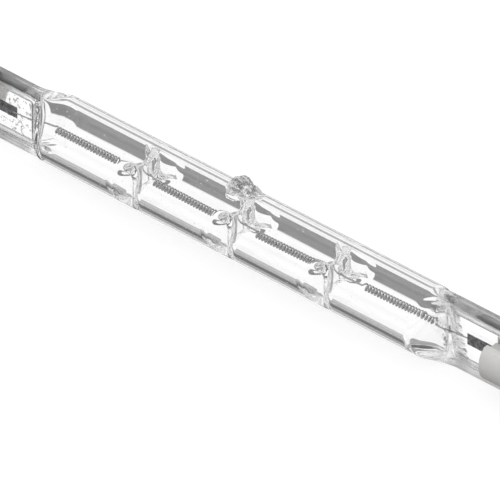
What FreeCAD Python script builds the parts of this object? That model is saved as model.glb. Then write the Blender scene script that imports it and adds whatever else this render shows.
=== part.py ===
import FreeCAD, Part
import math
import os
from FreeCAD import Vector

# Linear halogen lamp with a ceramic cap at each end. Millimetres.
# X runs along the lamp, with 0 in the middle of the tube. Z is up, with 0 under the seals' rails.
# Each pinch seal is as wide in Z as the lamp, so that the lamp stands on the edges of its rails.

# Overall length, between the two contact faces
contact_span = 114.2
contact_recess_depth = 1.7
contact_past_seal = 6.6

# Drawn quartz tube and its four cells
tube_d = 10.0
tube_wall = 1.0
shoulder_len = 4.0
shoulder_cut = 0.25
shoulder_blend_r = 1.1

# Bridges: a pair of blade grooves pressed in from both sides parts one cell from the next.
# The step from bridge to bridge is a share of the chamber's length. The anvil that the tube lay
# against while it was pressed left a shallow flat round each groove on the +Y side.
bridge_count = 3
bridge_share = 0.2315
bridge_glass = 4.2
groove_tip_r = 0.2
groove_lip_r = 2.0
groove_lip_len = 5.2
groove_lip_w = 5.6
groove_tip_w = 3.6
groove_corner = 0.9
groove_ease = 0.35
cell_end_r = 1.3
cell_end_overlap = 0.05
anvil_depth = 0.7
anvil_len = 4.4
anvil_ramp = 2.0

# Pinch seals: a thin web between two thick rails
seal_len = 14.0
seal_w = 10.4
seal_shift = 0.65
rail_w = 1.2
rail_t = 2.4
rail_lead = 1.8
rail_lead_r = 1.1
rail_chamfer = 0.2
web_t = 1.5
cavity_tip = 0.3
cavity_setback = 1.1

# Exhaust tip, melted off on top of the tube
exhaust_x = -1.1
exhaust_lean = 16.0
exhaust_d = 3.5
exhaust_foot_d = 5.6
exhaust_flare = 0.26
exhaust_neck_rise = 0.35
exhaust_rise = 1.65
exhaust_dome = 0.22
exhaust_bore_d = 0.9
exhaust_crown_d = 2.1
exhaust_cap = 1.6

# Filament: one wire with a coil in each cell. Each coil is shorter than the clear length between
# two grooves by its spare, and its middle is given in steps from bridge to bridge.
wire_d = 0.26
wire_sides = 4
coil_d = 1.15
coil_pitch = 0.535
chords_per_turn = 8
leg_step = 0.35
leg_clearance = 0.02
channel_sides = 6
coil_spare = (0.4, 0.7, 0.1, -0.3)
coil_mid_share = (-1.61, -0.568, 0.521, 1.651)
coil_sag = (-0.17, -0.37, -0.20, 0.12)
coil_tilt = (0.0, 0.1, -0.25, -0.3)

# Sealing foils, and the wires from them to the contacts
foil_w = 1.9
foil_t = 0.05
foil_setback = 2.8
foil_tail = 2.0
weld_len = 1.6
lead_d = 0.6

# Ceramic caps: two jaws hold the seal's web, behind them is a round barrel
cap_rail_gap = 0.4
cap_flat_depth = 1.1
cap_len = 14.7
jaw_root = 1.0
jaw_chamfer = 0.25
cap_chamfer = 0.4
slot_clearance = 0.75
slot_end_gap = 0.5
lead_hole_clearance = 0.1

# Cement in the slot
cement_setback = 0.4
cement_side_gap = 0.3

# Contacts
recess_wall = 1.3
contact_gap = 0.3
contact_clearance = 0.1
contact_head_t = 0.8
contact_chamfer = 0.2
shank_d = 1.6
shank_len = 1.8

# How far a cut runs past the face that it starts from
overrun = 1.0

# Sizes worked out from the ones above
axis_z = seal_w / 2
tube_r = tube_d / 2
bore_r = tube_r - tube_wall
chamber_len = contact_span - 2 * (contact_past_seal + seal_len)
seal_start = chamber_len / 2
seal_end = seal_start + seal_len
shoulder_start = seal_start - shoulder_len
bridge_step = bridge_share * chamber_len
contact_face = contact_span / 2
cap_end = contact_face + contact_recess_depth
cap_start = cap_end - cap_len
contact_seat = contact_face - contact_head_t
slot_end = seal_end + slot_end_gap
slot_t = web_t + 2 * slot_clearance
cap_d = seal_w - 2 * (rail_w + cap_rail_gap)
cap_flats = cap_d - 2 * cap_flat_depth
cement_w = cap_flats - 2 * cement_side_gap
recess_d = cap_d - 2 * recess_wall
contact_d = recess_d - 2 * contact_gap
coil_r = (coil_d - wire_d) / 2
coil_len = [bridge_step - groove_lip_len - spare for spare in coil_spare]
coil_mid = [bridge_step * place for place in coil_mid_share]
foil_start = seal_start + foil_setback
foil_end = seal_end - foil_tail


def face_of(edges):
    return Part.Face(Part.Wire(Part.__sortEdges__(edges)))


def chain(*points):
    """Straight edges from each point to the next."""
    return [Part.makeLine(a, b) for a, b in zip(points, points[1:])]


def ramp(start, end, start_r, end_r):
    """Ramp with rounded ends, level where it starts and where it ends, in the XY plane."""
    run, drop = end.x - start.x, end.y - start.y
    way, turn = math.copysign(1, run), math.copysign(1, drop)
    run, drop = abs(run), abs(drop)
    spare = drop - start_r - end_r
    slope = math.atan2(spare, run) + math.asin((start_r + end_r) / math.hypot(run, spare))

    def on_arc(base, radius, angle, out):
        return base + Vector(out * way * radius * math.sin(angle),
                             out * turn * radius * (1 - math.cos(angle)))

    edges, joints = [], []
    for base, radius, out in ((start, start_r, 1), (end, end_r, -1)):
        joint = on_arc(base, radius, slope, out)
        edges.append(Part.Arc(base, on_arc(base, radius, slope / 2, out), joint).toShape())
        joints.append(joint)
    return edges + chain(*joints)


def polygon(*points):
    return Part.Face(Part.makePolygon(list(points) + [points[0]]))


def block(x0, x1, y0, y1, z0, z1):
    return Part.makeBox(x1 - x0, y1 - y0, z1 - z0, Vector(x0, y0, z0))


def rod(x0, x1, radius, y=0.0):
    return Part.makeCylinder(radius, x1 - x0, Vector(x0, y, 0), Vector(1, 0, 0))


def pressed_slab(half, end_x, end_half):
    """Room between the two pressing tools: full height over the cells, flat at both ends."""
    rise = half + shoulder_cut
    edges = []
    for up in (1, -1):
        edges += chain(Vector(-shoulder_start, up * rise), Vector(shoulder_start, up * rise))
        for side in (1, -1):
            edges += ramp(Vector(side * shoulder_start, up * rise),
                          Vector(side * end_x, side * seal_shift + up * end_half),
                          shoulder_blend_r, shoulder_blend_r)
    for side in (1, -1):
        mid = side * seal_shift
        edges += chain(Vector(side * end_x, mid - end_half), Vector(side * end_x, mid + end_half))
    slab = face_of(edges).extrude(Vector(0, 0, 2 * tube_d))
    slab.translate(Vector(0, 0, -tube_d))
    return slab


def blade(side, x, floor, top, tip_r, lip_r, spread):
    """Blade that presses a groove, from its lips at the top down to its floor."""
    lip, out = groove_lip_len / 2 + spread, tube_d
    edges = chain(Vector(-lip, top), Vector(-lip, out), Vector(lip, out), Vector(lip, top))
    for way in (1, -1):
        edges += ramp(Vector(0, floor), Vector(way * lip, top), tip_r, lip_r)
    across = face_of(edges).extrude(Vector(0, 0, tube_d))
    across.translate(Vector(0, 0, -tube_r))
    tip_w, lip_w = groove_tip_w / 2 + spread, groove_lip_w / 2 + spread
    low, knee, high = floor - groove_corner / 2, floor + groove_corner, tube_r - tube_wall
    half = [(low, tip_w - groove_corner), (knee, tip_w), (high, lip_w), (out, lip_w)]
    outline = [Vector(-lip, y, z) for y, z in half]
    outline += [Vector(-lip, y, -z) for y, z in reversed(half)]
    tool = across.common(polygon(*outline).extrude(Vector(2 * lip, 0, 0)))
    if side < 0:
        tool = tool.mirror(Vector(), Vector(0, 1, 0))
    tool.translate(Vector(x, 0, 0))
    return tool


def anvil(x):
    """What the anvil takes from the tube's +Y side at a bridge: a flat with a ramp at each end."""
    level, out = tube_r - anvil_depth, tube_r + anvil_depth
    flat, ramp_end = anvil_len / 2, anvil_len / 2 + 2 * anvil_ramp
    outline = [(-flat, level), (flat, level), (ramp_end, out), (-ramp_end, out)]
    return polygon(*[Vector(x + dx, y, -tube_r) for dx, y in outline]).extrude(Vector(0, 0, tube_d))


def grooves():
    """What the blades take from the tube's outside, and what their glass takes from its inside."""
    outside, inside = [], []
    for x in bridge_places():
        outside.append(anvil(x))
        for side in (1, -1):
            outside.append(blade(side, x, bridge_glass / 2, tube_r + shoulder_cut,
                                 groove_tip_r, groove_lip_r, 0))
            inside.append(blade(side, x, -cell_end_overlap, bore_r + shoulder_cut,
                                cell_end_r, groove_lip_r / 2, groove_ease))
    return outside, inside


def seal(side):
    """Pinch seal: web and rails in one I-shaped section, with the rails led into the shoulder."""
    mid = side * seal_shift
    web, rail, top = web_t / 2, rail_t / 2, seal_w / 2
    inner = top - rail_w
    corners = [(-rail, -top), (rail, -top), (rail, -inner), (web, -inner), (web, inner), (rail, inner),
               (rail, top), (-rail, top), (-rail, inner), (-web, inner), (-web, -inner), (-rail, -inner)]
    start = seal_start - rail_lead
    section = polygon(*[Vector(start, mid + y, z) for y, z in corners])
    body = section.extrude(Vector(seal_end - start, 0, 0))
    body = body.makeChamfer(rail_chamfer, [e for e in body.Edges if e.BoundBox.XLength > seal_len])
    outline = block(start, seal_end, -tube_d, tube_d, -top, top)
    front = [e for e in outline.Edges if e.BoundBox.XMax < seal_start and e.BoundBox.ZLength < rail_w]
    return to_side(body.common(outline.makeFillet(rail_lead_r, front)), side)


def exhaust_tip():
    """Melted-off pumping tube: a foot on the tube, a neck and a rounded crown, with its bore."""
    foot, neck, crown = exhaust_foot_d / 2, exhaust_d / 2, exhaust_crown_d / 2
    top = tube_r + exhaust_rise
    base = math.sqrt(bore_r ** 2 - foot ** 2) + tube_wall / 2
    profile = [(0, base), (foot, base), (neck + exhaust_flare, tube_r), (neck, tube_r + exhaust_neck_rise),
               (neck, top - crown), (crown, top - exhaust_dome), (0, top)]
    tip = polygon(*[Vector(r, 0, z) for r, z in profile]).revolve(Vector(), Vector(0, 0, 1), 360)
    bore_start = bore_r - tube_wall
    bore = Part.makeCylinder(exhaust_bore_d / 2, top - exhaust_cap - bore_start,
                             Vector(0, 0, bore_start))
    for shape in (tip, bore):
        shape.rotate(Vector(), Vector(1, 0, 0), -exhaust_lean)
        shape.translate(Vector(exhaust_x, 0, 0))
    return tip, bore


def bridge_places():
    return [(k - (bridge_count - 1) / 2) * bridge_step for k in range(bridge_count)]


def filament_tail(side):
    """Corners of the wire from an outer coil to its weld on the foil, in the seal on that side."""
    n = 0 if side < 0 else -1
    coil_end = coil_mid[n] + side * (coil_len[n] / 2 + leg_step)
    y = side * (seal_shift + foil_t / 2 + wire_d / 2)
    return [Vector(coil_end, 0, 0), Vector(side * foil_start, y, 0),
            Vector(side * (foil_start + weld_len), y, 0)]


def coil_points(n):
    """Corners of one coil's turns, each turn drawn as a few straight chords."""
    turns = round(coil_len[n] / coil_pitch) + 0.5
    chords = round(turns * chords_per_turn)
    points = []
    for k in range(chords + 1):
        part = k / chords
        turn = 2 * math.pi * k / chords_per_turn
        lift = coil_sag[n] + coil_tilt[n] * (0.5 - part)
        points.append(Vector(coil_mid[n] + (part - 0.5) * coil_len[n],
                             coil_sag[n] + coil_r * math.sin(turn), lift + coil_r * math.cos(turn)))
    return points


def filament():
    """The whole wire: weld, tail, four coils with straight legs between them, tail and weld."""
    route = filament_tail(-1)[::-1]
    for n in range(len(coil_mid)):
        half = coil_len[n] / 2 + leg_step
        if n > 0:
            route.append(Vector(coil_mid[n] - half, 0, 0))
        route += coil_points(n)
        if n < len(coil_mid) - 1:
            route.append(Vector(coil_mid[n] + half, 0, 0))
    route += filament_tail(1)
    run = (route[1] - route[0]).normalize()
    flat = Vector(0, 0, 1)
    third = run.cross(flat)
    corners = []
    for k in range(wire_sides):
        turn = 2 * math.pi * (k + 0.5) / wire_sides
        corners.append(route[0] + (flat * math.cos(turn) + third * math.sin(turn)) * (wire_d / 2))
    section = Part.makePolygon(corners + [corners[0]])
    wire = Part.makePolygon(route).makePipeShell([section], True, False, 1)
    wire.translate(Vector(0, 0, axis_z))
    return wire


def prism(start, end, radius, sides):
    """Bar of an even-sided section whose flats lie at the radius, from one point to another."""
    run = (end - start).normalize()
    flat = run.cross(Vector(0, 0, 1)).normalize()
    third = run.cross(flat)
    corner_r = radius / math.cos(math.pi / sides)
    turns = [2 * math.pi * (k + 0.5) / sides for k in range(sides)]
    corners = [start + (flat * math.cos(a) + third * math.sin(a)) * corner_r for a in turns]
    return polygon(*corners).extrude(run * (end - start).Length)


def wire_channels():
    """Rooms that the glass leaves round the filament wire, in the bridges and in the seals."""
    radius = wire_d / 2 + leg_clearance
    reach = groove_lip_len / 2 + groove_ease
    runs = [(Vector(x - reach, 0, 0), Vector(x + reach, 0, 0)) for x in bridge_places()]
    for side in (-1, 1):
        start, bend, end = filament_tail(side)
        past = Vector(side * radius, 0, 0)
        runs += [(start, bend), (bend - past, end + past)]
    return [prism(a, b, radius, channel_sides) for a, b in runs]


def foil(side):
    mid = side * seal_shift
    strip = block(foil_start, foil_end, mid - foil_t / 2, mid + foil_t / 2, -foil_w / 2, foil_w / 2)
    return to_side(strip, side)


def lead_y(side):
    return side * (seal_shift - foil_t / 2 - lead_d / 2)


def outer_lead(side):
    return to_side(rod(foil_end - weld_len, contact_seat - shank_len, lead_d / 2, lead_y(side)), side)


def to_side(shape, side):
    """Shape made for the +X end, on the end that is wanted."""
    return shape if side > 0 else shape.mirror(Vector(), Vector(1, 0, 0))


def envelope():
    """One piece of quartz: pressed tube, seals and exhaust tip, less its cells and the metal in it."""
    tube = rod(-seal_start, seal_start, tube_r)
    glass = tube.common(pressed_slab(tube_r, seal_start, web_t / 2))
    tip, tip_bore = exhaust_tip()
    glass = glass.fuse([seal(1), seal(-1), tip])
    room_end = seal_start - cavity_setback
    room = rod(-room_end, room_end, bore_r).common(pressed_slab(bore_r, room_end, cavity_tip / 2))
    outside, inside = grooves()
    glass = glass.cut(outside).cut(room.cut(inside).fuse(tip_bore))
    metal = wire_channels()
    for side in (1, -1):
        metal.append(foil(side))
        metal.append(to_side(rod(foil_end - weld_len, contact_face, lead_d / 2, lead_y(side)), side))
    return glass.cut(metal).removeSplitter()


def cap(side):
    """Ceramic cap: a turned barrel, milled flat on two sides and slotted for the seal's web."""
    outer, mouth = cap_d / 2, recess_d / 2
    seat, hole = contact_d / 2 + contact_clearance, shank_d / 2 + contact_clearance
    shank_end = contact_seat - shank_len
    profile = [(shank_end, 0), (cap_start, 0), (cap_start, outer - jaw_chamfer),
               (cap_start + jaw_chamfer, outer), (cap_end - cap_chamfer, outer),
               (cap_end, outer - cap_chamfer), (cap_end, mouth), (contact_face, mouth),
               (contact_face, seat), (contact_seat, seat), (contact_seat, hole), (shank_end, hole)]
    body = polygon(*[Vector(x, 0, z) for x, z in profile]).revolve(Vector(), Vector(1, 0, 0), 360)
    waste = [block(cap_start - overrun, slot_end, -slot_t / 2, slot_t / 2, -cap_d, cap_d),
             rod(slot_end - overrun, shank_end + overrun, lead_d / 2 + lead_hole_clearance, lead_y(side))]
    for up in (1, -1):
        z0, z1 = sorted((up * cap_flats / 2, up * cap_d))
        waste.append(block(cap_start - overrun, slot_end + jaw_root, -cap_d, cap_d, z0, z1))
    return to_side(body.cut(waste), side)


def cement(side):
    """Cement that fills the slot round the web, and follows the web where it sits off centre."""
    mid = side * seal_shift
    fill = block(cap_start + cement_setback, slot_end, -slot_t / 2, slot_t / 2,
                 -cement_w / 2, cement_w / 2)
    web = block(cap_start - overrun, seal_end, mid - web_t / 2, mid + web_t / 2, -seal_w, seal_w)
    lead = rod(seal_start, contact_face, lead_d / 2, lead_y(side))
    return to_side(fill.cut([web, lead]), side)


def contact(side):
    outer, shank = contact_d / 2, shank_d / 2
    profile = [(contact_seat - shank_len, 0), (contact_seat - shank_len, shank), (contact_seat, shank),
               (contact_seat, outer), (contact_face - contact_chamfer, outer),
               (contact_face, outer - contact_chamfer), (contact_face, 0)]
    button = polygon(*[Vector(x, 0, z) for x, z in profile]).revolve(Vector(), Vector(1, 0, 0), 360)
    return to_side(button, side)


def build():
    nodes = {"quartz_envelope": envelope()}
    for side, name in ((-1, "left"), (1, "right")):
        nodes["foil_" + name] = foil(side)
        nodes["outer_lead_" + name] = outer_lead(side)
        nodes["ceramic_cap_" + name] = cap(side)
        nodes["cement_" + name] = cement(side)
        nodes["contact_" + name] = contact(side)
    for shape in nodes.values():
        shape.translate(Vector(0, 0, axis_z))
    nodes["filament"] = filament()
    return nodes


def main():
    os.makedirs("parts", exist_ok=True)
    for name, shape in build().items():
        solids = shape.Solids
        print(name, "solids", len(solids), "valid", shape.isValid(), "faces", len(shape.Faces),
              "volume", round(shape.Volume, 3))
        shape.exportStep("parts/" + name + ".step")


main()
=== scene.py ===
import math

import bmesh
import bpy
from mathutils import Matrix, Vector, noise


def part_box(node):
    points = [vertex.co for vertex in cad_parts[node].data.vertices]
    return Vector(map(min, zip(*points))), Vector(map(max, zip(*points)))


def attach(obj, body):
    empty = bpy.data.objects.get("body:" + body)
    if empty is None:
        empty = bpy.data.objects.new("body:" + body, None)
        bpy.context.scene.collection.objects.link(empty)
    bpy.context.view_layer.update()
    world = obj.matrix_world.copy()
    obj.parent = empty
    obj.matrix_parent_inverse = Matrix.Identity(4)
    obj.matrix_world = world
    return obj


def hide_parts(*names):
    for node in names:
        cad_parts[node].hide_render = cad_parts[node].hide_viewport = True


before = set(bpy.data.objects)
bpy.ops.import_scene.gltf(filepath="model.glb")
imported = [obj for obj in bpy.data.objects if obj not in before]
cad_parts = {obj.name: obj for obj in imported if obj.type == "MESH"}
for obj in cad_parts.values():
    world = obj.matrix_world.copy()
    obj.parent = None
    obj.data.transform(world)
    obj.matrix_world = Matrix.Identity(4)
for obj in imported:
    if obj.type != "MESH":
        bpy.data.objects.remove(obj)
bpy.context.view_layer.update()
mm = 0.001
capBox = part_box("ceramic_cap_right")
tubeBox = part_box("quartz_envelope")
axisZ = (capBox[0][2] + capBox[1][2]) / 2 / mm  # height of the lamp's axis
sealEnd = tubeBox[1][0] / mm

print("frame loaded")

# shared sizes of the glass, in mm
tube = dict(radius=5.0, bore=4.0, chamberEnd=36.5, shoulder=4.0, late=0.7, slope=0.2)
bridges = dict(places=(-16.9, 0.0, 16.9), floor=2.1, crease=0.16, halfLength=2.1,
               fullWidth=1.4, fadeWidth=3.0)
facets = dict(far=4.3, near=4.85, half=2.2, end=4.2, past=0.2)
cells = dict(core=0.45, end=2.4, full=1.6, fade=3.2, short=0.9, pinchEarly=0.4, pinchLate=0.25, slit=0.12)
seals = dict(halfWidth=5.2, railWidth=1.2, railHalf=1.2, webHalf=0.75, shift=0.65,
             corners=(0.27, 0.45, 0.58), softening=0.035, taps=5)
exhaust = dict(x=-1.1, lean=16.0, seed=4)  # where the pumping tube stood, and how the flame pulled it
noise.seed_set(exhaust["seed"])  # without it the noise vectors would differ from run to run


def smooth(lo, hi, value):
    part = min(1.0, max(0.0, (value - lo) / (hi - lo)))
    return part * part * (3 - 2 * part)


def mix(a, b, part):
    return a + (b - a) * part


def newPiece(name, bm, material):
    mesh = bpy.data.meshes.new(name)
    bm.to_mesh(mesh)
    bm.free()
    mesh.materials.append(material)
    piece = bpy.data.objects.new(name, mesh)
    bpy.context.scene.collection.objects.link(piece)
    return piece


# shader maths: a socket that takes part in Python expressions
class Sock:
    def __init__(self, shader, out):
        self.shader = shader
        self.out = out

    def math(self, operation, *others):
        return self.shader.math(operation, self, *others)

    def __add__(self, other):
        return self.math("ADD", other)

    def __radd__(self, other):
        return self.math("ADD", other)

    def __sub__(self, other):
        return self.math("SUBTRACT", other)

    def __rsub__(self, other):
        return self.shader.math("SUBTRACT", other, self)

    def __mul__(self, other):
        return self.math("MULTIPLY", other)

    def __rmul__(self, other):
        return self.math("MULTIPLY", other)

    def step(self, lo, hi):
        return self.shader.node("ShaderNodeMapRange", {"interpolation_type": "SMOOTHSTEP"},
                                {"Value": self, "From Min": lo, "From Max": hi}, "Result")

    def zone(self, span):
        # 0 to 1 over a stretch given in mm
        return self.step(span[0] * mm, span[1] * mm)


class Shader:
    def __init__(self, tree):
        self.tree = tree
        tree.nodes.clear()

    def node(self, kind, settings, inputs, out=0):
        # a node's type and settings, then the value or link of each socket, by name or number
        made = self.tree.nodes.new(kind)
        for key, value in settings.items():
            setattr(made, key, value)
        for key, value in inputs.items():
            if isinstance(value, Sock):
                self.tree.links.new(value.out, made.inputs[key])
            else:
                made.inputs[key].default_value = value
        return Sock(self, made.outputs[out]) if len(made.outputs) else None

    def math(self, operation, *values):
        return self.node("ShaderNodeMath", {"operation": operation}, dict(enumerate(values)))

    def place(self):
        return self.node("ShaderNodeTexCoord", {}, {}, "Object")

    def axes(self, vector):
        first = self.node("ShaderNodeSeparateXYZ", {}, {"Vector": vector})
        return [Sock(self, out) for out in first.out.node.outputs]

    def noise(self, vector, scale, detail, rough=0.55):
        return self.node("ShaderNodeTexNoise", {},
                         {"Vector": vector, "Scale": scale, "Detail": detail, "Roughness": rough})

    def grain(self, vector, scales, detail):
        # noise with a scale of its own along each axis
        stretched = self.node("ShaderNodeMapping", {}, {"Vector": vector, "Scale": scales})
        return self.noise(stretched, 1.0, detail)

    def blend(self, part, first, second):
        return self.node("ShaderNodeMix", {"data_type": "RGBA"}, {0: part, 6: first, 7: second}, 2)

    def bump(self, height, strength, depth):
        return self.node("ShaderNodeBump", {}, {"Height": height, "Strength": strength, "Distance": depth})

    def finish(self, inputs):
        surface = self.node("ShaderNodeBsdfPrincipled", {}, inputs)
        self.node("ShaderNodeOutputMaterial", {}, {"Surface": surface})


def newMaterial(name):
    material = bpy.data.materials.new(name)
    material.use_nodes = True
    return material, Shader(material.node_tree)


def grey(level):
    return level, level, level, 1


def quartzMaterial():
    # the zones are in mm along the lamp, away from its axis or up and down from it
    zones = dict(seal=(35.8, 37.6), rail=(3.5, 4.2), edge=(4.5, 4.9), webEnd=(43.5, 38.5), left=(30, -30),
                 frostStart=(35.2, 36.4), frostEnd=(38.6, 37.6), melted=(5.0, 5.5), frostSlant=0.25)
    scales = dict(drawn=(30, 260, 260), pressed=(420, 900, 900), streak=(160, 1300, 1300),
                  ripple=(700, 2100, 1500), dust=2300, bubble=1250)
    # the exhaust tip's cut and tone below make painted shade: dark streaks in the glass colour
    cuts = dict(streak=(0.25, 0.75), frost=(0.3, 0.7), paintedTipShade=(0.36, 0.58), dust=(0.735, 0.765),
                bubble=(0.60, 0.70))
    tones = dict(streak=0.70, edge=0.48, frost=0.66, paintedTipShade=0.14)
    relief = dict(drawn=0.12, pressed=1.6, frost=0.8, bubble=0.8, dust=0.25, ripple=3.0,
                  bump=0.4, depth=0.25)
    rough = dict(rail=0.30, bubble=0.15, dust=0.3, frost=0.25)
    refraction = 1.46

    material, s = newMaterial("quartz")
    place = s.place()
    x, y, z = s.axes(place)
    height = z - axisZ * mm
    along, up = x.math("ABSOLUTE"), height.math("ABSOLUTE")
    sealed = along.zone(zones["seal"])
    rail = up.zone(zones["rail"]) * sealed
    edge = up.zone(zones["edge"]) * sealed
    drawn = s.grain(place, scales["drawn"], 2.0)
    pressed = s.grain(place, scales["pressed"], 4.0)
    streak = s.grain(place, scales["streak"], 3.0).step(*cuts["streak"])
    dust = s.noise(place, scales["dust"], 2.0).step(*cuts["dust"])

    # small bubbles in the web of the -X seal
    web = along.zone(zones["webEnd"]) * sealed * (1 - rail) * x.zone(zones["left"])
    bubble = s.noise(place, scales["bubble"], 2.0).step(*cuts["bubble"]) * web

    # a frosted strip where the tool closed askew on the +X shoulder
    slant = x + height * zones["frostSlant"]
    strip = slant.zone(zones["frostStart"]) * slant.zone(zones["frostEnd"])
    frost = strip * pressed.step(*cuts["frost"])

    # the flame left the exhaust tip rippled; dark streaks over the ripples are painted shade in the glass
    # colour, standing in for the tip's dark refractions
    melted = (y * y + height * height).math("SQRT").zone(zones["melted"]) * (1 - sealed)
    ripple = s.grain(place, scales["ripple"], 2.0)
    paintedTipShade = melted * ripple.step(*cuts["paintedTipShade"])

    tone = s.blend(rail * streak, grey(1), grey(tones["streak"]))
    tone = s.blend(edge, tone, grey(tones["edge"]))
    tone = s.blend(frost, tone, grey(tones["frost"]))
    # painted shade on the exhaust tip: its glass colour darkened in streaks
    tone = s.blend(paintedTipShade, tone, grey(tones["paintedTipShade"]))
    rise = drawn * relief["drawn"] + pressed * rail * relief["pressed"] + frost * relief["frost"]
    rise = rise + bubble * relief["bubble"] + dust * relief["dust"] + melted * ripple * relief["ripple"]
    matt = rail * rough["rail"] + bubble * rough["bubble"] + dust * rough["dust"] + frost * rough["frost"]
    s.finish({"Base Color": tone, "IOR": refraction, "Roughness": matt, "Transmission Weight": 1.0,
              "Normal": s.bump(rise, relief["bump"], relief["depth"] * mm)})
    return material


def solidFinish(s, look, tone, rough, rise):
    # an opaque finish: dark and light tones by one pattern, roughness, and a relief given in mm
    s.finish({"Base Color": s.blend(tone, look["dark"], look["light"]), "Metallic": look["metallic"],
              "Roughness": rough, "Normal": s.bump(rise, look["bump"], look["depth"] * mm)})


def tungstenMaterial():
    look = dict(dark=(0.34, 0.34, 0.345, 1), light=(0.60, 0.60, 0.61, 1), metallic=1.0, mottle=2600,
                rough=0.3, uneven=0.25, bump=0.3, depth=0.02)
    material, s = newMaterial("tungsten")
    mottle = s.noise(s.place(), look["mottle"], 3.0)
    solidFinish(s, look, mottle, mottle * look["uneven"] + look["rough"], mottle)
    return material


def foilMaterial():
    look = dict(dark=(0.05, 0.05, 0.055, 1), light=(0.24, 0.24, 0.25, 1), metallic=1.0,
                rolled=(600, 600, 5200), crumpled=1700, folds=(0.35, 0.65), rollMarks=0.3,
                rough=0.35, uneven=0.2, bump=0.5, depth=0.08)
    material, s = newMaterial("foil")
    place = s.place()
    rolled = s.grain(place, look["rolled"], 3.0)
    crumpled = s.noise(place, look["crumpled"], 3.0)
    rough = rolled * look["uneven"] + look["rough"]
    solidFinish(s, look, crumpled.step(*look["folds"]), rough, rolled * look["rollMarks"] + crumpled)
    return material


def leadMaterial():
    look = dict(dark=(0.16, 0.16, 0.17, 1), light=(0.34, 0.34, 0.35, 1), metallic=1.0,
                drawn=(300, 4000, 4000), rough=0.3, uneven=0.2, bump=0.15, depth=0.02)
    material, s = newMaterial("leadWire")
    drawn = s.grain(s.place(), look["drawn"], 3.0)
    solidFinish(s, look, drawn, drawn * look["uneven"] + look["rough"], drawn)
    return material


def ceramicMaterial():
    look = dict(dark=(0.70, 0.69, 0.67, 1), light=(0.82, 0.815, 0.80, 1), metallic=0.0,
                clouds=320, pores=5200, rough=0.5, uneven=0.2, bump=0.25, depth=0.03)
    material, s = newMaterial("ceramic")
    place = s.place()
    clouds = s.noise(place, look["clouds"], 4.0)
    pores = s.noise(place, look["pores"], 3.0)
    solidFinish(s, look, clouds, pores * look["uneven"] + look["rough"], pores)
    return material


def cementMaterial():
    look = dict(dark=(0.52, 0.51, 0.48, 1), light=(0.76, 0.75, 0.72, 1), metallic=0.0,
                sand=3800, sandRough=0.7, sandRelief=0.5, lumps=900, rough=0.85, bump=0.6, depth=0.12)
    material, s = newMaterial("cement")
    place = s.place()
    sand = s.noise(place, look["sand"], 5.0, look["sandRough"])
    lumps = s.noise(place, look["lumps"], 3.0)
    solidFinish(s, look, sand, look["rough"], sand * look["sandRelief"] + lumps)
    return material


def contactMaterial():
    # turned metal: fine rings round the lamp's axis, worn by the lamp holder
    look = dict(dark=(0.46, 0.44, 0.40, 1), light=(0.70, 0.68, 0.63, 1), metallic=1.0,
                rings=26000.0, ringRelief=0.4, worn=1500, rough=0.22, uneven=0.2, bump=0.15, depth=0.02)
    material, s = newMaterial("contactMetal")
    place = s.place()
    x, y, z = s.axes(place)
    height = z - axisZ * mm
    turned = ((y * y + height * height).math("SQRT") * look["rings"]).math("SINE") * 0.5 + 0.5
    worn = s.noise(place, look["worn"], 4.0)
    rough = worn * look["uneven"] + look["rough"]
    solidFinish(s, look, worn, rough, turned * look["ringRelief"] + worn)
    return material


def sealCorner(turn):
    # a turn of 4 goes once round the seal's section, and each quarter runs from an edge to the web
    rail, top = seals["railHalf"], seals["halfWidth"]
    inner, web = top - seals["railWidth"], seals["webHalf"]
    shares = (0.0, *seals["corners"], 1.0)
    points = ((0.0, top), (rail, top), (rail, inner), (web, inner), (web, 0.0))
    part, side, up = turn % 4, 1, 1
    if part > 2:
        part, side = 4 - part, -1
    if part > 1:
        part, up = 2 - part, -1
    for a, b, (y0, z0), (y1, z1) in zip(shares, shares[1:], points, points[1:]):
        if part <= b:
            share = (part - a) / (b - a)
            return side * mix(y0, y1, share), up * mix(z0, z1, share)


def sealPoint(turn):
    # the section with its corners rounded by a short average along the path
    reach, taps = seals["softening"], seals["taps"]
    points = [sealCorner(turn + reach * (2 * k / (taps - 1) - 1)) for k in range(taps)]
    return sum(p[0] for p in points) / taps, sum(p[1] for p in points) / taps


def fromBridge(x):
    return min(abs(x - place) for place in bridges["places"])


def grooveDepth(x, z):
    # 0 on the plain tube, 1 at the bottom of a pressed groove
    reach = min(1.0, math.hypot(fromBridge(x), bridges["crease"]) / bridges["halfLength"])
    return (1 - reach) ** 2 * (1 - smooth(bridges["fullWidth"], bridges["fadeWidth"], abs(z)))


def shoulderPart(x, z):
    # 0 on the tube, 1 on the seal; the +X end was pressed a little late and askew
    end = tube["chamberEnd"]
    if x > 0:
        end += tube["late"] - tube["slope"] * z
    return smooth(end - tube["shoulder"], end, abs(x))


def facetAt(x, y):
    # the pressing tools flatten the tube's two sides a little around each groove
    facet = facets["far"] if y > 0 else facets["near"]
    return mix(facet, tube["radius"] + facets["past"], smooth(facets["half"], facets["end"], fromBridge(x)))


def outerPoint(x, angle):
    y, z = tube["radius"] * math.sin(angle), tube["radius"] * math.cos(angle)
    facet = facetAt(x, y)
    if abs(y) > facet:
        y = math.copysign(facet, y)
    y = mix(y, math.copysign(bridges["floor"], y), grooveDepth(x, z))
    part = shoulderPart(x, z)
    if part > 0:
        sealY, sealZ = sealPoint(angle / (math.pi / 2))
        y = mix(y, sealY + math.copysign(seals["shift"], x), part)
        z = mix(z, sealZ, part)
    return y, z


def cellDepth(x, z):
    # 0 in a cell, 1 where the glass is solid between two cells, which end in a blunt round
    rise = min(1.0, max(0.0, (fromBridge(x) - cells["core"]) / (cells["end"] - cells["core"])))
    return (1 - math.sqrt(1 - (1 - rise) ** 2)) * (1 - smooth(cells["full"], cells["fade"], abs(z)))


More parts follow.
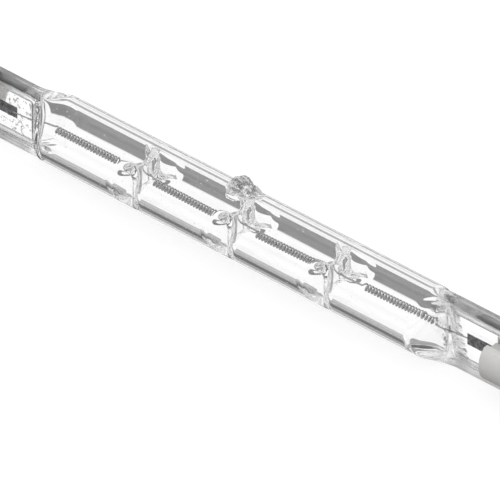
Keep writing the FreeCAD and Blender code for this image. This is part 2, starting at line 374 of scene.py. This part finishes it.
def cavityPoint(x, angle):
    y, z = tube["bore"] * math.sin(angle), tube["bore"] * math.cos(angle)
    y = mix(y, 0.0, cellDepth(x, z))
    # at both ends it closes to a narrow slit in the seal's web
    pinchStart = tube["chamberEnd"] - tube["shoulder"] - cells["pinchEarly"]
    pinchEnd = tube["chamberEnd"] - cells["short"] + cells["pinchLate"]
    slit = math.copysign(seals["shift"], x) + cells["slit"] * math.sin(angle)
    return mix(y, slit, smooth(pinchStart, pinchEnd, abs(x))), z


def stations(end, steps):
    # places of the rings along the tube, close together where the glass is pressed
    reach = dict(crease=0.9, bridge=4.4, shoulder=1.8, seal=1.4)
    shoulder = tube["chamberEnd"] - tube["shoulder"] - reach["shoulder"]
    seal = tube["chamberEnd"] + reach["seal"]
    marks = []
    x = -end
    while x < end:
        marks.append(x)
        if fromBridge(x) < reach["crease"]:
            x += steps["crease"]
        elif fromBridge(x) < reach["bridge"]:
            x += steps["bridge"]
        elif shoulder < abs(x) < seal:
            x += steps["shoulder"]
        else:
            x += steps["cell"] if abs(x) < seal else steps["seal"]
    return marks + [end]


def lathe(marks, radius, sides):
    # round rod along X with a ring of vertices at each mark, closed at both ends
    bm = bmesh.new()
    last = len(marks) - 1
    bmesh.ops.create_cone(bm, cap_ends=True, segments=sides, radius1=radius, radius2=radius, depth=last)
    long = [e for e in bm.edges if abs(e.verts[0].co.z - e.verts[1].co.z) > 0.5]
    bmesh.ops.subdivide_edges(bm, edges=long, cuts=last - 1, use_grid_fill=True)
    for v in bm.verts:
        v.co = Vector((marks[round(v.co.z + last / 2)], v.co.y, v.co.x))
    return bm


def outerShell():
    rings = dict(sides=164, cell=0.8, bridge=0.16, shoulder=0.15, seal=1.2, crease=0.07)
    bm = lathe(stations(sealEnd, rings), tube["radius"], rings["sides"])
    for v in bm.verts:
        y, z = outerPoint(v.co.x, math.atan2(v.co.y, v.co.z))
        v.co = Vector((v.co.x, y, z))
    bmesh.ops.recalc_face_normals(bm, faces=bm.faces)
    return bm


def cavityShell():
    rings = dict(sides=120, cell=0.8, bridge=0.17, shoulder=0.16, seal=0.5, crease=0.08)
    touching = 1e-3
    bm = lathe(stations(tube["chamberEnd"] - cells["short"], rings), tube["bore"], rings["sides"])
    closed = []
    for v in bm.verts:
        if cellDepth(v.co.x, v.co.z) >= 1.0:
            closed.append(v)
        y, z = cavityPoint(v.co.x, math.atan2(v.co.y, v.co.z))
        v.co = Vector((v.co.x, y, z))
    # the two sides of a cell meet where the glass is solid, and their faces go
    bmesh.ops.remove_doubles(bm, verts=closed, dist=touching)
    met = {v for v in bm.verts if abs(v.co.y) < 1e-6 and cellDepth(v.co.x, v.co.z) >= 1.0}
    inner = [f for f in bm.faces if all(v in met for v in f.verts)]
    bmesh.ops.delete(bm, geom=inner, context="FACES")
    bmesh.ops.recalc_face_normals(bm, faces=bm.faces)
    return bm


def ontoTube(bm):
    # an upright shape goes to where the pumping tube stood
    turn = Matrix.Rotation(math.radians(-exhaust["lean"]), 4, "X")
    bmesh.ops.transform(bm, matrix=Matrix.Translation((exhaust["x"], 0, 0)) @ turn, verts=bm.verts)
    bmesh.ops.recalc_face_normals(bm, faces=bm.faces)
    return bm


def exhaustTip():
    # melted-off pumping tube: a dome on a wide foot that runs out in a heel toward +X
    tip = dict(radius=1.62, base=4.1, crown=5.4, top=6.52, foot=2.85, flareFrom=4.6, flareTo=5.5,
               heel=1.7, heelFrom=4.8, heelTo=6.0, looseFrom=4.85, sagLimit=12.0,
               pulls=((0.8, 0.22), (2.3, 0.12), (5.0, 0.04)), rings=45, sides=64)
    heights = [mix(tip["base"], tip["top"], k / (tip["rings"] - 1)) for k in range(tip["rings"])]
    bm = lathe(heights, 1.0, tip["sides"])
    for v in bm.verts:
        height, turn = v.co.x, math.atan2(v.co.y, v.co.z)
        share = min(1.0, max(0.0, (height - tip["crown"]) / (tip["top"] - tip["crown"])))
        reach = tip["radius"] * math.sqrt(1 - share ** 2)
        reach = mix(tip["foot"], reach, smooth(tip["flareFrom"], tip["flareTo"], height) ** 0.5)
        heel = tip["heel"] * (1 - smooth(tip["heelFrom"], tip["heelTo"], height))
        reach += heel * max(0.0, math.cos(turn)) ** 3
        reach *= math.hypot(v.co.y, v.co.z)
        side = reach * math.sin(turn)
        # the foot follows the tube's round
        sag = tube["radius"] - math.sqrt(tube["radius"] ** 2 - min(side ** 2, tip["sagLimit"]))
        loose = smooth(tip["looseFrom"], tip["crown"], height)
        v.co = Vector((reach * math.cos(turn), side, height - sag * (1 - loose)))
        # soft glass pulled about a little
        pull = sum((noise.noise_vector(v.co * scale) * size for scale, size in tip["pulls"]), Vector())
        v.co += pull * loose
    return ontoTube(bm)


def exhaustBore():
    # what is left of the pumping tube's bore, from the room in the tube up into the dome
    bore = dict(start=3.2, end=5.9, mouth=2.0, radius=0.75, funnelFrom=0.15, funnelTo=0.5, blunt=6,
                wave=0.16, waveScale=1.4, waveSeed=(7, 3, 1), waveFrom=0.3, waveTo=0.6, rings=41, sides=48)
    heights = [mix(bore["start"], bore["end"], k / (bore["rings"] - 1)) for k in range(bore["rings"])]
    bm = lathe(heights, 1.0, bore["sides"])
    for v in bm.verts:
        height, turn = v.co.x, math.atan2(v.co.y, v.co.z)
        share = min(1.0, (height - bore["start"]) / (bore["end"] - bore["start"]))
        reach = mix(bore["mouth"], bore["radius"], smooth(bore["funnelFrom"], bore["funnelTo"], share))
        reach *= math.sqrt(1 - share ** bore["blunt"]) * math.hypot(v.co.y, v.co.z)
        v.co = Vector((reach * math.cos(turn), reach * math.sin(turn), height))
        wave = noise.noise_vector(v.co * bore["waveScale"] + Vector(bore["waveSeed"])) * bore["wave"]
        v.co += wave * smooth(bore["waveFrom"], bore["waveTo"], share)
    return ontoTube(bm)


def united(first, second, material):
    # the two shapes joined as one closed skin
    pieces = [newPiece("first", first, material), newPiece("second", second, material)]
    union = pieces[0].modifiers.new("union", "BOOLEAN")
    union.operation = "UNION"
    union.solver = "EXACT"
    union.object = pieces[1]
    bpy.context.view_layer.update()
    joined = bpy.data.meshes.new_from_object(pieces[0].evaluated_get(bpy.context.evaluated_depsgraph_get()))
    for old in pieces:
        bpy.data.objects.remove(old)
    return joined


def intoFrame(bm):
    # from mm round the lamp's axis to the frame's metres above the ground
    bmesh.ops.transform(bm, matrix=Matrix.Scale(mm, 4) @ Matrix.Translation((0, 0, axisZ)), verts=bm.verts)


def quartzEnvelope(material):
    outside = united(outerShell(), exhaustTip(), material)
    inside = united(cavityShell(), exhaustBore(), material)
    inside.flip_normals()
    bm = bmesh.new()
    bm.from_mesh(outside)
    bm.from_mesh(inside)
    for f in bm.faces:
        f.smooth = True
    intoFrame(bm)
    piece = newPiece("quartzGlass", bm, material)
    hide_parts("quartz_envelope")
    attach(piece, "root")
    print("quartz envelope done,", len(piece.data.polygons), "faces")


def wireAlong(route, radius, sides):
    # round wire along the route, each ring turned from the one before without a twist
    bm = lathe(range(len(route)), 1.0, sides)
    rings = [[] for point in route]
    for v in bm.verts:
        rings[round(v.co.x)].append(v)
    side = Vector((0, 0, 1))
    for k, ring in enumerate(rings):
        run = (route[min(len(route) - 1, k + 1)] - route[max(0, k - 1)]).normalized()
        side = (side - run * side.dot(run)).normalized()
        third = run.cross(side)
        for v in ring:
            v.co = route[k] + (third * v.co.y + side * v.co.z) * radius
    return bm


def filament(material):
    wire = dict(radius=0.125, sides=8, coilRadius=0.45, turnSteps=20, leg=0.45, kink=0.05,
                ripple=0.03, ripples=9, weld=40.9, bend=39.3, shift=0.8)
    coils = (dict(mid=-27.2, length=11.3, turns=21.5, y=-0.17, z=-0.17, tilt=0.0),
             dict(mid=-9.6, length=11.0, turns=21.5, y=-0.37, z=-0.37, tilt=0.1),
             dict(mid=8.8, length=11.6, turns=22.5, y=-0.20, z=-0.20, tilt=-0.25),
             dict(mid=27.9, length=12.0, turns=22.5, y=0.12, z=0.12, tilt=-0.3))
    route = [Vector((-wire["weld"], -wire["shift"], 0)), Vector((-wire["bend"], -wire["shift"], 0))]
    for n, coil in enumerate(coils):
        half = coil["length"] / 2 + wire["leg"]
        count = round(coil["turns"] * wire["turnSteps"])
        route.append(Vector((coil["mid"] - half, 0, wire["kink"])))
        for k in range(count + 1):
            part = k / count
            angle = 2 * math.pi * coil["turns"] * part
            ripple = wire["ripple"] * noise.noise(Vector((part * wire["ripples"], n, 0)))
            x = coil["mid"] + (part - 0.5) * coil["length"] + ripple
            y = coil["y"] + wire["coilRadius"] * math.sin(angle)
            z = coil["z"] + coil["tilt"] * (0.5 - part) + wire["coilRadius"] * math.cos(angle)
            route.append(Vector((x, y, z)))
        route.append(Vector((coil["mid"] + half, 0, -wire["kink"])))
    route += [Vector((wire["bend"], wire["shift"], 0)), Vector((wire["weld"], wire["shift"], 0))]
    bm = wireAlong(route, wire["radius"], wire["sides"])
    for f in bm.faces:
        f.smooth = len(f.verts) == 4
    intoFrame(bm)
    piece = newPiece("filamentWire", bm, material)
    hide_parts("filament")
    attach(piece, "root")
    print("filament done,", len(piece.data.polygons), "faces")


def dress(node, material):
    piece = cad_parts[node]
    piece.data.materials.clear()
    piece.data.materials.append(material)


def endPieces():
    finishes = dict(ceramic_cap=ceramicMaterial(), cement=cementMaterial(), contact=contactMaterial(),
                    foil=foilMaterial(), outer_lead=leadMaterial())
    for kind, material in finishes.items():
        for end in ("left", "right"):
            dress(kind + "_" + end, material)
    print("caps, cement, contacts, foils and leads dressed")


def studioFloor():
    # white for the camera and with the lamp's shadow on it; glass and metal see the white room past it
    floor = dict(radius=1.2, below=0.00005, sides=96, paper=0.24, glow=0.78, always=0.05)
    bm = bmesh.new()
    bmesh.ops.create_circle(bm, cap_ends=True, segments=floor["sides"], radius=floor["radius"])
    bmesh.ops.transform(bm, matrix=Matrix.Translation((0, 0, -floor["below"])), verts=bm.verts)
    material, s = newMaterial("studioFloor")
    seen = s.node("ShaderNodeLightPath", {}, {}, "Is Camera Ray")
    paper = s.node("ShaderNodeBsdfDiffuse", {}, {"Color": grey(floor["paper"])})
    strength = seen * floor["glow"] + floor["always"]
    glow = s.node("ShaderNodeEmission", {}, {"Color": grey(1), "Strength": strength})
    both = s.node("ShaderNodeAddShader", {}, {0: paper, 1: glow})
    s.node("ShaderNodeOutputMaterial", {}, {"Surface": both})
    piece = newPiece("studioFloor", bm, material)
    piece.visible_glossy = False
    piece.visible_transmission = False
    print("floor done")


def studioWorld():
    # white room with long dark flags along the lamp, each placed in degrees round its axis, where 0 is
    # level and 90 straight up; gap leaves out the middle of a flag
    flags = (dict(start=-42.5, end=-28.4, level=0.185, gap=0.0),
             dict(start=-81.0, end=-62.5, level=0.36, gap=0.0),
             dict(start=-92.0, end=-81.0, level=0.13, gap=0.35),
             dict(start=0.0, end=13.0, level=0.34, gap=0.0))
    blur = dict(edge=0.4, gap=0.1)
    world = bpy.data.worlds.new("studio")
    bpy.context.scene.world = world
    world.use_nodes = True
    s = Shader(world.node_tree)
    x, y, z = s.axes(s.node("ShaderNodeTexCoord", {}, {}, "Generated"))
    roll = z.math("ARCTAN2", y.math("ABSOLUTE")) * (180 / math.pi)
    light = 1.0
    for flag in flags:
        above = roll.step(flag["start"] - blur["edge"], flag["start"] + blur["edge"])
        below = 1 - roll.step(flag["end"] - blur["edge"], flag["end"] + blur["edge"])
        inside = above * below * x.math("ABSOLUTE").step(flag["gap"] - blur["gap"], flag["gap"])
        light = light * (1 - inside * (1 - flag["level"]))
    seen = s.node("ShaderNodeLightPath", {}, {}, "Is Camera Ray")
    strength = seen + (1 - seen) * light
    back = s.node("ShaderNodeBackground", {}, {"Color": grey(1), "Strength": strength})
    s.node("ShaderNodeOutputWorld", {}, {"Surface": back})
    print("world done")


def camera():
    shot = dict(azimuth=39.75, elevation=38.6, distance=1.5, sensor=36.0, pixels=500,
                pixelsPerMm=7.35, axisX=0.66, axisPixel=(245, 225), clipEnd=10)
    a, e = math.radians(shot["azimuth"]), math.radians(shot["elevation"])
    back = Vector((math.sin(a) * math.cos(e), -math.cos(a) * math.cos(e), math.sin(e)))
    right = Vector((math.cos(a), math.sin(a), 0))
    up = back.cross(right)
    pixel = mm / shot["pixelsPerMm"]
    middle = shot["pixels"] / 2
    aim = Vector((shot["axisX"] * mm, 0, axisZ * mm))
    aim += right * (middle - shot["axisPixel"][0]) * pixel
    aim -= up * (middle - shot["axisPixel"][1]) * pixel
    data = bpy.data.cameras.new("camera")
    data.sensor_width = shot["sensor"]
    data.lens = shot["sensor"] * shot["distance"] / (shot["pixels"] * pixel)
    data.clip_end = shot["clipEnd"]
    cam = bpy.data.objects.new("camera", data)
    cam.location = aim + back * shot["distance"]
    cam.rotation_mode = "QUATERNION"
    cam.rotation_quaternion = back.to_track_quat("Z", "Y")
    bpy.context.scene.collection.objects.link(cam)
    bpy.context.scene.camera = cam
    print("camera placed")


def renderSettings():
    # light in glass walls goes through many surfaces
    bounces = 64
    scene = bpy.context.scene
    scene.view_settings.view_transform = "Standard"
    scene.cycles.max_bounces = bounces
    scene.cycles.transmission_bounces = bounces
    scene.cycles.glossy_bounces = bounces


camera()
studioWorld()
studioFloor()
quartzEnvelope(quartzMaterial())
filament(tungstenMaterial())
endPieces()
renderSettings()
